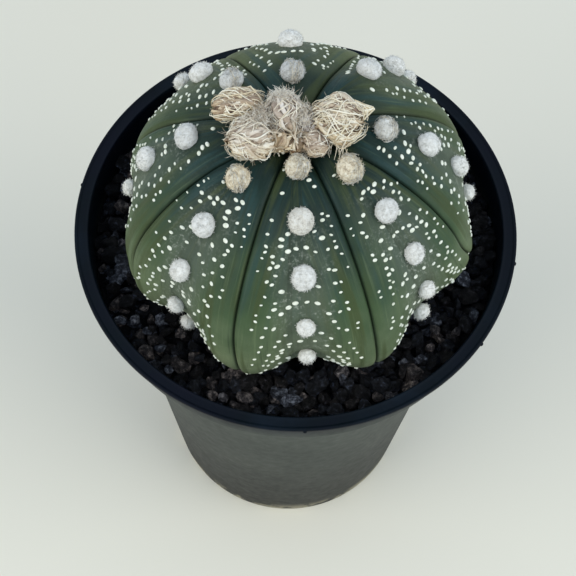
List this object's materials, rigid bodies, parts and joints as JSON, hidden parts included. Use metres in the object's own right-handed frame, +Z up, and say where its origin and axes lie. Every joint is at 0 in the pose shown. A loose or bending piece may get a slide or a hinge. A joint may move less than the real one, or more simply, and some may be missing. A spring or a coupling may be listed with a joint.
{
  "type": "potted star cactus",
  "caption": "Flecked, ribbed globular star cactus with woolly areoles and dried flowers, in a black plastic nursery pot topped with black grit.",
  "frame": {"origin": "centre of the pot's underside, where it stands", "axes": "+Z up the pot and through the crown of the plant; the side shown in the picture faces -Y"},
  "size_m": [0.1, 0.1, 0.1649],
  "materials": {
    "pot": "matte black moulded plastic, dusty on the side",
    "potting_mix": "dark crumbly potting mix",
    "grit": "black angular stone chips",
    "cactus": "waxy dark green skin with white wool pads",
    "dried_flowers": "dry papery tan petals"
  },
  "bodies": {
    "root": {"pot": "pot", "potting_mix": "potting_mix", "grit": "grit", "cactus": "cactus", "dried_flowers": "dried_flowers"}
  },
  "joints": []
}
